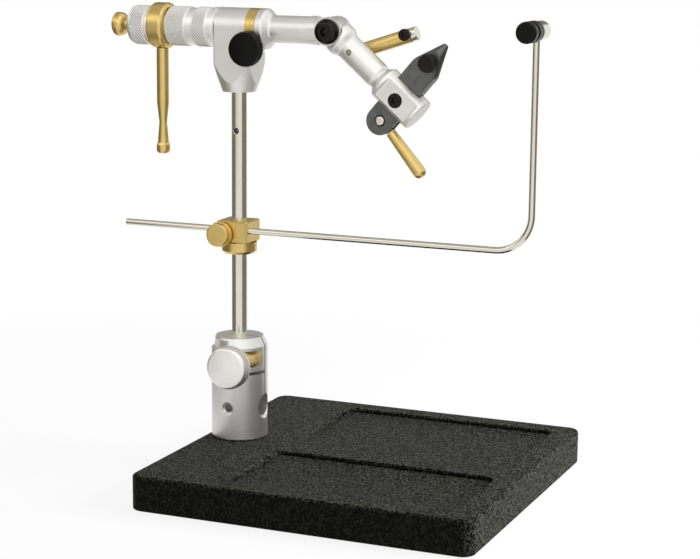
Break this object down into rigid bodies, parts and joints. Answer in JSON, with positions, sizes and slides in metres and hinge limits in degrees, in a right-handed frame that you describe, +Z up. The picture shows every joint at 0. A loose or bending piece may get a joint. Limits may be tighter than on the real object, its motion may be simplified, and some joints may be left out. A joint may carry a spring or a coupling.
{
  "type": "fly tying vise",
  "caption": "Rotary bench vise for tying fishing flies: heavy base with trays, round stem, cranked rotary head with tilting jaw arm, and an adjustable bobbin rest.",
  "frame": {"origin": "on the table plane, under the stem's axis", "axes": "+X along the rotary axis towards the jaws, +Y away from the person tying, +Z up along the stem"},
  "size_m": [0.2807, 0.2125, 0.2892],
  "materials": {
    "base_coat": "fine textured black powder coat",
    "rubber": "matt non-slip sheet",
    "aluminium": "satin, bead blasted, knurled grips",
    "steel": "polished stainless steel",
    "brass": "satin brass",
    "bronze": "sintered bronze",
    "jaw_steel": "dark hardened steel, satin",
    "black_steel": "black oxide",
    "black_plastic": "black, semi-gloss",
    "washer_plastic": "white acetal"
  },
  "bodies": {
    "base": {"base_casting": "base_coat", "base_pad": "rubber", "column_bolt": "black_steel", "bolt_washer": "steel", "column": "aluminium", "stem_clamp_bush": "brass"},
    "stem_knob": {"stem_clamp_knob": "aluminium", "stem_clamp_screw": "steel"},
    "stem": {"stem": "steel"},
    "collar": {"stop_collar": "brass", "collar_set_screw": "black_steel"},
    "bobbin_block": {"bobbin_block": "brass"},
    "bobbin_screw": {"bobbin_thumb_screw": "brass"},
    "bobbin_rod": {"bobbin_rod": "steel", "spindle_barrel": "steel", "spool_axle": "steel"},
    "roller": {"spool_front_disc": "black_plastic", "spool_hub": "aluminium", "spool_rear_disc": "black_plastic"},
    "head": {"head_body": "aluminium", "head_set_screw": "black_steel", "rear_bush": "bronze", "front_bush": "bronze", "drag_collar": "brass"},
    "drag": {"drag_knob": "black_plastic", "drag_screw": "steel"},
    "rotor": {"rotary_shaft": "aluminium", "rotary_barrel": "aluminium", "barrel_set_screw": "black_steel", "thrust_washer": "bronze", "crank_ring": "brass", "crank_handle": "brass", "pivot_screw": "black_steel", "pivot_washers": "washer_plastic"},
    "rear_knob": {"rear_knob": "aluminium"},
    "end_knob": {"end_knob": "brass"},
    "arm": {"jaw_arm": "aluminium", "jaw_head": "aluminium", "front_jaw": "jaw_steel", "jaw_screw": "black_steel", "jaw_spring": "steel", "cam_pin": "steel"},
    "rear_jaw": {"rear_jaw": "jaw_steel"},
    "jaw_knob": {"jaw_adjust_knob": "black_steel", "jaw_adjust_screw": "steel"},
    "cam": {"cam_lever": "steel", "cam_handle": "brass"},
    "clip": {"clip_rod": "brass", "clip_pin": "steel", "clip_screw": "black_steel", "clip_spring": "steel"},
    "clip_plunger": {"clip_plunger": "steel"}
  },
  "joints": [
    {"name": "stem_knob_turn", "type": "hinge", "parent": "base", "child": "stem_knob", "pos_m": [0.0097, 0, 0.073], "axis": [0, 1, 0], "range_deg": [-180, 360]},
    {"name": "stem_lift", "type": "slide", "parent": "base", "child": "stem", "axis": [0, 0, 1], "range_m": [0, 0.02]},
    {"name": "collar_slide", "type": "slide", "parent": "stem", "child": "collar", "axis": [0, 0, 1], "range_m": [-0.05, 0.05]},
    {"name": "bobbin_swivel", "type": "hinge", "parent": "collar", "child": "bobbin_block", "pos_m": [0, 0, 0.1527], "axis": [0, 0, 1], "continuous": true},
    {"name": "thumb_screw_turn", "type": "hinge", "parent": "bobbin_block", "child": "bobbin_screw", "pos_m": [-0.0068, -0.01103, 0.1503], "axis": [0, 1, 0], "range_deg": [-180, 360]},
    {"name": "bobbin_rod_slide", "type": "slide", "parent": "bobbin_block", "child": "bobbin_rod", "axis": [1, 0, 0], "range_m": [-0.04, 0.055]},
    {"name": "roller_spin", "type": "hinge", "parent": "bobbin_rod", "child": "roller", "pos_m": [0.1897, -0.0117, 0.2794], "axis": [0, 1, 0], "continuous": true},
    {"name": "head_swivel", "type": "hinge", "parent": "stem", "child": "head", "pos_m": [0, 0, 0.2752], "axis": [0, 0, 1], "continuous": true},
    {"name": "drag_knob_turn", "type": "hinge", "parent": "head", "child": "drag", "pos_m": [0.0122, 0, 0.2637], "axis": [0, 1, 0], "range_deg": [-180, 360]},
    {"name": "rotary_spin", "type": "hinge", "parent": "head", "child": "rotor", "pos_m": [0, 0, 0.2752], "axis": [1, 0, 0], "continuous": true},
    {"name": "rear_knob_turn", "type": "hinge", "parent": "rotor", "child": "rear_knob", "pos_m": [-0.072, 0, 0.2752], "axis": [1, 0, 0], "range_deg": [-180, 360]},
    {"name": "end_knob_turn", "type": "hinge", "parent": "rotor", "child": "end_knob", "pos_m": [-0.0848, 0, 0.2752], "axis": [1, 0, 0], "range_deg": [-180, 360]},
    {"name": "arm_tilt", "type": "hinge", "parent": "rotor", "child": "arm", "pos_m": [0.0616, 0, 0.2752], "axis": [0, 1, 0], "range_deg": [-41, 18]},
    {"name": "jaw_open", "type": "hinge", "parent": "arm", "child": "rear_jaw", "pos_m": [0.10464, 0.00208, 0.23646], "axis": [-0.7547, 0, 0.6561], "range_deg": [0, 2]},
    {"name": "jaw_knob_turn", "type": "hinge", "parent": "arm", "child": "jaw_knob", "pos_m": [0.12406, 0, 0.2588], "axis": [0, 1, 0], "range_deg": [-180, 360]},
    {"name": "cam_lever_swing", "type": "hinge", "parent": "arm", "child": "cam", "pos_m": [0.09362, 0, 0.22378], "axis": [0, 1, 0], "range_deg": [0, 95]},
    {"name": "clip_swing", "type": "hinge", "parent": "arm", "child": "clip", "pos_m": [0.07519, 0, 0.26339], "axis": [0, 1, 0], "range_deg": [-60, 25]},
    {"name": "clip_plunger_pull", "type": "slide", "parent": "clip", "child": "clip_plunger", "axis": [0.9511, 0, 0.309], "range_m": [0, 0.003], "stiffness_N_per_m": 200}
  ],
  "couplings": [
    {"joint": "jaw_open", "follows": "cam_lever_swing", "ratio": 0.021053}
  ]
}
